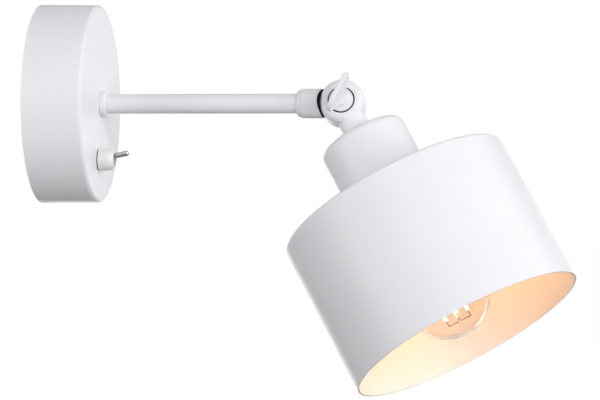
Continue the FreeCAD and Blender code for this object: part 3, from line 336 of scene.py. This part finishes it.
FINISHES = {
    "white_coat": coat_finish("white_powder_coat", (0.83, 0.826, 0.858, 1), (0.8, 0.796, 0.826, 1),
                              0.42, 0.8),
    "white_plastic": coat_finish("white_moulding", grey(0.82), grey(0.78, 0.006), 0.3, 0.35,
                                 peel_scale=1500.0, depth=0.00001, nibs=0.1),
    "bright_chrome": metal_finish("bright_chrome", grey(0.6), grey(0.38), 0.1,
                                  along=(0.05, 1.0, 1.0), line_scale=3000.0, depth=0.000003),
    "zinc_steel": metal_finish("zinc_plated_steel", (0.6, 0.62, 0.65, 1), (0.47, 0.48, 0.49, 1), 0.32,
                               along=(1.0, 0.04, 1.0)),
    "brass": metal_finish("turned_brass", (0.75, 0.56, 0.25, 1), (0.55, 0.38, 0.16, 1), 0.28,
                          along=(1.0, 0.06, 1.0)),
    "clear_nylon": coat_finish("milky_nylon", grey(0.78, 0.03), grey(0.66, 0.05), 0.4, 0.5,
                               peel_scale=1200.0),
    "dark_plastic": coat_finish("black_moulding", grey(0.03), grey(0.018), 0.45, 0.6,
                                peel_scale=1600.0, worn=grey(0.09)),
    # Partly painted shade: this black is put on pieces set into the narrow gaps round the knuckle and the
    # wing screw, where there is only shadow.
    "black_rubber": coat_finish("black_fibre_and_painted_shade", grey(0.012), grey(0.006), 0.75, 0.9,
                                peel_scale=2200.0, worn=grey(0.02), wear=0.1, dusty=0.02,
                                shine=0.15),
    "holder_plastic": coat_finish("heat_proof_moulding", grey(0.79, 0.01), grey(0.74, 0.02), 0.4, 0.5,
                                  peel_scale=1300.0),
    "white_ceramic": coat_finish("glazed_porcelain", grey(0.78, 0.02), grey(0.7, 0.04), 0.18, 0.4,
                                 peel_scale=500.0),
    "nickel_shell": metal_finish("nickel_plated_sheet", (0.68, 0.66, 0.62, 1), (0.5, 0.48, 0.45, 1), 0.24,
                                 along=(1.0, 1.0, 0.2)),
    "bulb_glass": glass_finish("clear_blown_glass", (0.98, 0.94, 0.87, 1), 0.0),
    "dark_glass": coat_finish("fused_black_glass", grey(0.02), grey(0.012), 0.15, 0.4,
                              peel_scale=900.0),
    "light_stick": glow_finish("light_stick_coat", (1.0, 0.84, 0.44, 1.0), 13.0),
    "nickel_wire": metal_finish("drawn_wire", grey(0.68, 0.02), grey(0.5, 0.02), 0.2,
                                along=(1.0, 1.0, 0.1)),
    "lead_insulation": coat_finish("lead_insulation", grey(0.72, 0.02), grey(0.64, 0.03), 0.45, 0.5,
                                   peel_scale=2000.0),
}


def dress_cad_nodes():
    """Gives each CAD node the finish of its own slot in the record."""
    slots = {entry["node"]: entry["material_slot"] for entry in frame["record"]["subparts"]}
    for node, item in frame["nodes"].items():
        item.data.materials.clear()
        item.data.materials.append(FINISHES[slots[node]])


# Pieces made here --------------------------------------------------------------------------

RING_STEPS = 96
LEAD_RADIUS = 0.9


def add_piece(name, points, faces, slot, body):
    """A smooth mesh in the row frame that takes its finish from a slot and rides on a body."""
    mesh = bpy.data.meshes.new(name)
    mesh.from_pydata(points, [], faces)
    edit = bmesh.new()
    edit.from_mesh(mesh)
    bmesh.ops.recalc_face_normals(edit, faces=edit.faces)
    edit.to_mesh(mesh)
    edit.free()
    mesh.shade_smooth()
    mesh.set_sharp_from_angle(angle=math.radians(40))
    mesh.materials.append(FINISHES[slot])
    item = bpy.data.objects.new(name, mesh)
    bpy.context.scene.collection.objects.link(item)
    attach(item, body)
    return item


def round_steps(steps):
    """Turns of the points round one ring."""
    return [2 * math.pi * step / steps for step in range(steps)]


def head_point(along, out=0.0, turn=0.0):
    """A place in the head at rest: along the shade's axis and out from it at an angle."""
    axis = Vector((math.cos(DROOP), 0.0, -math.sin(DROOP)))
    side = Vector((0.0, 1.0, 0.0))
    rise = Vector((math.sin(DROOP), 0.0, math.cos(DROOP)))
    return PIVOT + axis * along + (side * math.cos(turn) + rise * math.sin(turn)) * out


def thread_run(low, high, pitch, root, crest, flat=1.4):
    """Radius of a rolled thread by place along the axis and turn, level at both ends."""
    middle = (root + crest) / 2
    depth = (crest - root) / 2

    def radius(along, turn):
        wave = flat * math.sin(2 * math.pi * along / pitch - turn)
        fade = min(1.0, (along - low) / pitch, (high - along) / pitch)
        return middle + depth * max(-1.0, min(1.0, wave)) * max(0.0, fade)

    return radius


def loop_faces(rows, steps):
    """Faces of a closed ring made of rows of points, each row one full turn."""
    faces = []
    for row in range(rows):
        following = (row + 1) % rows
        for step in range(steps):
            beside = (step + 1) % steps
            faces.append((row * steps + step, row * steps + beside,
                          following * steps + beside, following * steps + step))
    return faces


def turned_piece(name, profile, slot, body, node):
    """Turns a closed profile round the shade's axis; a radius may be a number or a thread."""
    points = []
    for along, radius in profile:
        for turn in round_steps(RING_STEPS):
            out = radius(along, turn) if callable(radius) else radius
            points.append(head_point(along * MM, out * MM, turn))
    piece = add_piece(name, points, loop_faces(len(profile), RING_STEPS), slot, body)
    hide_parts(node)


def thread_rows(low, high, radius, pitch, offset=0.0):
    """Profile points close enough together to show a thread's shape."""
    count = round((high - low) / pitch * 12)
    places = [low + (high - low) * number / count for number in range(count + 1)]
    return [(place, lambda along, turn: radius(along, turn) + offset) for place in places]


def add_rolled_threads():
    """Bulb cap and screw shell of pressed sheet, and the moulded thread of the holder's skirt."""
    pitch = 3.62
    cap = thread_run(68.4, 85.4, pitch, 12.3, 13.1)
    sheet = 0.3
    outside = [(66.5, 11.6), (67.4, 12.35), *thread_rows(68.4, 85.4, cap, pitch),
               (86.0, 12.95), (86.6, 13.1), (88.2, 13.1)]
    inside = [(88.2, 12.8), (86.9, 12.8), *reversed(thread_rows(68.4, 85.4, cap, pitch, -sheet)),
              (67.6, 12.0), (66.8, 11.2)]
    turned_piece("rolled_bulb_cap", outside + inside, "nickel_shell", "bulb", "bulb_cap")

    shell = thread_run(63.0, 83.4, pitch, 13.25, 13.95)
    sheet = 0.4
    inside = [(60.9, 10.5), (61.3, 10.5), (61.3, 13.3), (62.0, 13.6),
              *thread_rows(63.0, 83.4, shell, pitch), (84.2, 13.7), (84.9, 14.2)]
    outside = [(84.9, 14.6), (84.0, 14.1), *reversed(thread_rows(63.0, 83.4, shell, pitch, sheet)),
               (62.0, 14.0), (60.9, 14.0)]
    turned_piece("rolled_screw_shell", inside + outside, "nickel_shell", "head", "screw_shell")

    pitch = 2.5
    skirt = thread_run(55.0, 86.8, pitch, 19.1, 19.7, flat=2.2)
    outside = [(54.0, 18.9), (54.4, 19.3), *thread_rows(55.0, 86.8, skirt, pitch), (87.5, 19.3),
               (88.0, 18.8)]
    inside = [(88.0, 15.4), (87.6, 15.0), (86.0, 15.0), (86.0, 17.7), (54.0, 17.7)]
    turned_piece("threaded_skirt", outside + inside, "holder_plastic", "head", "holder_skirt")


def add_painted_seat_shade():
    """Painted shade: a black ring that fills the seat round the wing screw's foot, so the gap there shows
    as a black shadow line; built from section points in mm.
    """
    section = [(-7.35, 6.5), (-7.35, 7.0), (-7.2, 7.12), (-5.6, 7.12), (-5.6, 6.38), (-7.2, 6.38)]
    points = []
    for level, radius in section:
        for turn in round_steps(RING_STEPS):
            around = Vector((radius * math.cos(turn), level, radius * math.sin(turn)))
            points.append(PIVOT + around * MM)
    add_piece("painted_seat_shade", points, loop_faces(len(section), RING_STEPS), "black_rubber", "head")


# Points of each lead in mm.
LEAD_PATHS = {
    "neutral_lead": [(21.5, 2.42, -1.4), (17.5, 3.2, -2.6), (11.5, 8.0, -5.0), (10.1, 12.5, -5.0),
                     (10.1, 17.0, -5.0)],
    "switched_lead": [(21.5, -2.42, -1.4), (16.5, -4.0, -4.0), (8.6, -5.0, -12.0),
                      (4.6, -3.0, -20.0), (6.2, -0.6, -23.6), (8.8, 0.0, -23.7)],
    "live_lead": [(10.1, 17.0, 5.0), (10.1, 12.5, 5.0), (11.5, 8.6, 1.0), (8.6, 8.6, -9.0),
                  (6.5, 8.0, -20.0), (5.0, 5.0, -31.0), (5.4, 1.5, -37.0), (8.8, 0.0, -37.3)],
    "earth_lead": [(21.5, 0.0, 2.8), (16.0, -4.0, 6.0), (10.0, -12.0, 8.6), (7.4, -14.8, 11.0),
                   (7.2, -11.5, 11.4), (7.2, -8.4, 11.4)],
}


def add_wall_leads():
    """Loose leads behind the wall plate: terminal block, switch, earth lug and the arm's tail."""
    for name, path in LEAD_PATHS.items():
        curve = bpy.data.curves.new(name, "CURVE")
        curve.dimensions = "3D"
        curve.resolution_u = 10
        curve.bevel_depth = LEAD_RADIUS * MM
        curve.bevel_resolution = 4
        curve.use_fill_caps = True
        spline = curve.splines.new("BEZIER")
        spline.bezier_points.add(len(path) - 1)
        for point, place in zip(spline.bezier_points, path):
            point.co = Vector(place) * MM
            point.handle_left_type = "AUTO"
            point.handle_right_type = "AUTO"
        source = bpy.data.objects.new(name, curve)
        bpy.context.scene.collection.objects.link(source)
        bpy.context.view_layer.update()
        shape = source.evaluated_get(bpy.context.evaluated_depsgraph_get())
        mesh = bpy.data.meshes.new_from_object(shape)
        points = [tuple(vertex.co) for vertex in mesh.vertices]
        faces = [tuple(face.vertices) for face in mesh.polygons]
        bpy.data.objects.remove(source)
        add_piece(name, points, faces, "lead_insulation", "wall_arm")


# Camera and light --------------------------------------------------------------------------

def add_camera():
    """The photograph's view: from the front right and a little below, through a long lens."""
    azimuth, elevation, roll = (math.radians(v) for v in (8.018, -13.701, 2.08))
    distance = 1.5
    focal_pixels = 2880.0
    target = Vector((0.13961, 0.0, -0.05212))
    back = Vector((math.sin(azimuth) * math.cos(elevation),
                   -math.cos(azimuth) * math.cos(elevation),
                   math.sin(elevation)))
    side = Vector((math.cos(azimuth), math.sin(azimuth), 0.0))
    up = back.cross(side)
    right = side * math.cos(roll) + up * math.sin(roll)
    up = back.cross(right)
    camera = bpy.data.objects.new("photo_camera", bpy.data.cameras.new("photo_camera"))
    camera.matrix_world = Matrix.Translation(target + back * distance) @ Matrix(
        (right, up, back)).transposed().to_4x4()
    camera.data.sensor_width = 36.0
    camera.data.lens = focal_pixels / PHOTO_WIDTH * camera.data.sensor_width
    camera.data.clip_end = 50.0
    bpy.context.scene.collection.objects.link(camera)
    bpy.context.scene.camera = camera


def add_soft_lamp(name, place, aim, size, watts):
    """A round white softbox that the camera does not see."""
    lamp = bpy.data.lights.new(name, "AREA")
    lamp.shape = "DISK"
    lamp.size = size
    lamp.energy = watts
    item = bpy.data.objects.new(name, lamp)
    item.location = place
    item.rotation_mode = "QUATERNION"
    item.rotation_quaternion = (Vector(aim) - Vector(place)).to_track_quat("-Z", "Y")
    item.visible_camera = False
    bpy.context.scene.collection.objects.link(item)


def add_bulb_light():
    """Warm light of the lit bulb: small lamps round the glass that turn with the head."""
    count = 4
    from_pivot = 0.108
    off_axis = 0.031
    for number in range(count):
        turn = math.radians(45) + 2 * math.pi * number / count
        lamp = bpy.data.lights.new(f"bulb_light_{number}", "POINT")
        lamp.shadow_soft_size = 0.006
        lamp.energy = 0.021
        lamp.color = (1.0, 0.455, 0.15)
        item = bpy.data.objects.new(f"bulb_light_{number}", lamp)
        item.location = head_point(from_pivot, off_axis, turn)
        item.visible_camera = False
        item.visible_glossy = False
        item.visible_transmission = False
        bpy.context.scene.collection.objects.link(item)
        item.parent = frame["bodies"]["head"]
        item.matrix_parent_inverse = frame["bodies"]["head"].matrix_world.inverted()


def add_world():
    """Even studio light, with plain white where the camera or glass looks past the lamp; metal sees a
    bright upper half with a dark bar.
    """
    world = bpy.data.worlds.new("studio")
    bpy.context.scene.world = world
    world.use_nodes = True
    world.node_tree.nodes.clear()
    tree = Tree(world.node_tree)
    path = tree.add("ShaderNodeLightPath").outputs
    seen = tree.maths("MAXIMUM", path["Is Camera Ray"], path["Is Transmission Ray"])
    direction = tree.add("ShaderNodeTexCoord").outputs["Generated"]
    height = tree.add("ShaderNodeSeparateXYZ", {0: direction}).outputs["Z"]
    soft = tree.remap(height, -1.0, 1.0, 0.165, 0.2)
    # Gloss mirrors a bright upper half with one dark bar across it.
    window = tree.remap(height, -0.12, 0.3, 0.04, 1.05)
    bar_height = 0.52
    from_bar = tree.maths("ABSOLUTE", tree.maths("SUBTRACT", height, bar_height))
    mirrored = tree.maths("MULTIPLY", window, tree.remap(from_bar, 0.04, 0.1, 0.12, 1.0))
    level = tree.add("ShaderNodeMix", {0: path["Is Glossy Ray"], 2: soft, 3: mirrored})
    lighting = tree.add("ShaderNodeBackground", {"Color": (0.965, 0.978, 1.0, 1.0),
                                                 "Strength": level.outputs[0]})
    backdrop = tree.add("ShaderNodeBackground", {"Color": grey(1.0), "Strength": 1.0})
    both = tree.add("ShaderNodeMixShader", {0: seen})
    tree.feed(both, 1, lighting.outputs[0])
    tree.feed(both, 2, backdrop.outputs[0])
    output = tree.add("ShaderNodeOutputWorld")
    tree.feed(output, "Surface", both.outputs[0])


def add_floor():
    """A pale floor at the height of a room's floor below a bedside lamp."""
    half = 3.0
    level = -1.2
    corners = [(-half, -half, level), (half, -half, level), (half, half, level), (-half, half, level)]
    mesh = bpy.data.meshes.new("floor")
    mesh.from_pydata(corners, [], [(0, 1, 2, 3)])
    floor = bpy.data.objects.new("floor", mesh)
    bpy.context.scene.collection.objects.link(floor)
    material, tree, shader, position = start_material("pale_floor")
    scales = {"Patch_Scale": 0.6, "Fine_Scale": 40.0}
    lit = place_group(tree, "tone", position, Light=grey(0.5), Dark=grey(0.48), **scales)
    pale = place_group(tree, "tone", position, Light=grey(0.86), Dark=grey(0.82), **scales)
    seen = tree.add("ShaderNodeLightPath").outputs["Is Camera Ray"]
    tree.feed(shader, "Base Color", tree.mix_colour(seen, lit.outputs["Color"], pale.outputs["Color"]))
    shader.inputs["Emission Color"].default_value = grey(1.0)
    tree.feed(shader, "Emission Strength", tree.maths("MULTIPLY", seen, 0.4))
    shader.inputs["Roughness"].default_value = 0.9
    # The floor is not there for a camera under it, which looks up at the lamp.
    underside = tree.add("ShaderNodeNewGeometry").outputs["Backfacing"]
    one_sided = tree.add("ShaderNodeMixShader", {0: underside})
    tree.feed(one_sided, 1, shader.outputs[0])
    tree.feed(one_sided, 2, tree.add("ShaderNodeBsdfTransparent").outputs[0])
    output = next(node for node in material.node_tree.nodes if node.type == "OUTPUT_MATERIAL")
    tree.feed(output, "Surface", one_sided.outputs[0])
    mesh.materials.append(material)


dress_cad_nodes()
add_rolled_threads()
# Black ring of painted shade in the seat round the wing screw.
add_painted_seat_shade()
add_wall_leads()
add_camera()
add_world()
add_floor()
add_soft_lamp("key", (1.85, -1.4, 0.15), HEAD_AIM, 1.9, 38.0)
add_soft_lamp("fill", (-1.4, -1.15, -0.1), HEAD_AIM, 1.4, 14.0)
add_soft_lamp("front", (0.1, -2.0, 0.2), HEAD_AIM, 1.5, 6.0)
add_soft_lamp("upper_right", (1.6, 0.1, 0.9), PLATE_AIM, 1.2, 6.0)
add_soft_lamp("rear_right", (1.2, 1.9, 0.2), PLATE_AIM, 1.6, 4.0)
add_soft_lamp("rear", (-0.5, 2.4, 0.3), HEAD_AIM, 1.4, 16.0)
add_bulb_light()
bpy.context.scene.view_settings.view_transform = "Standard"
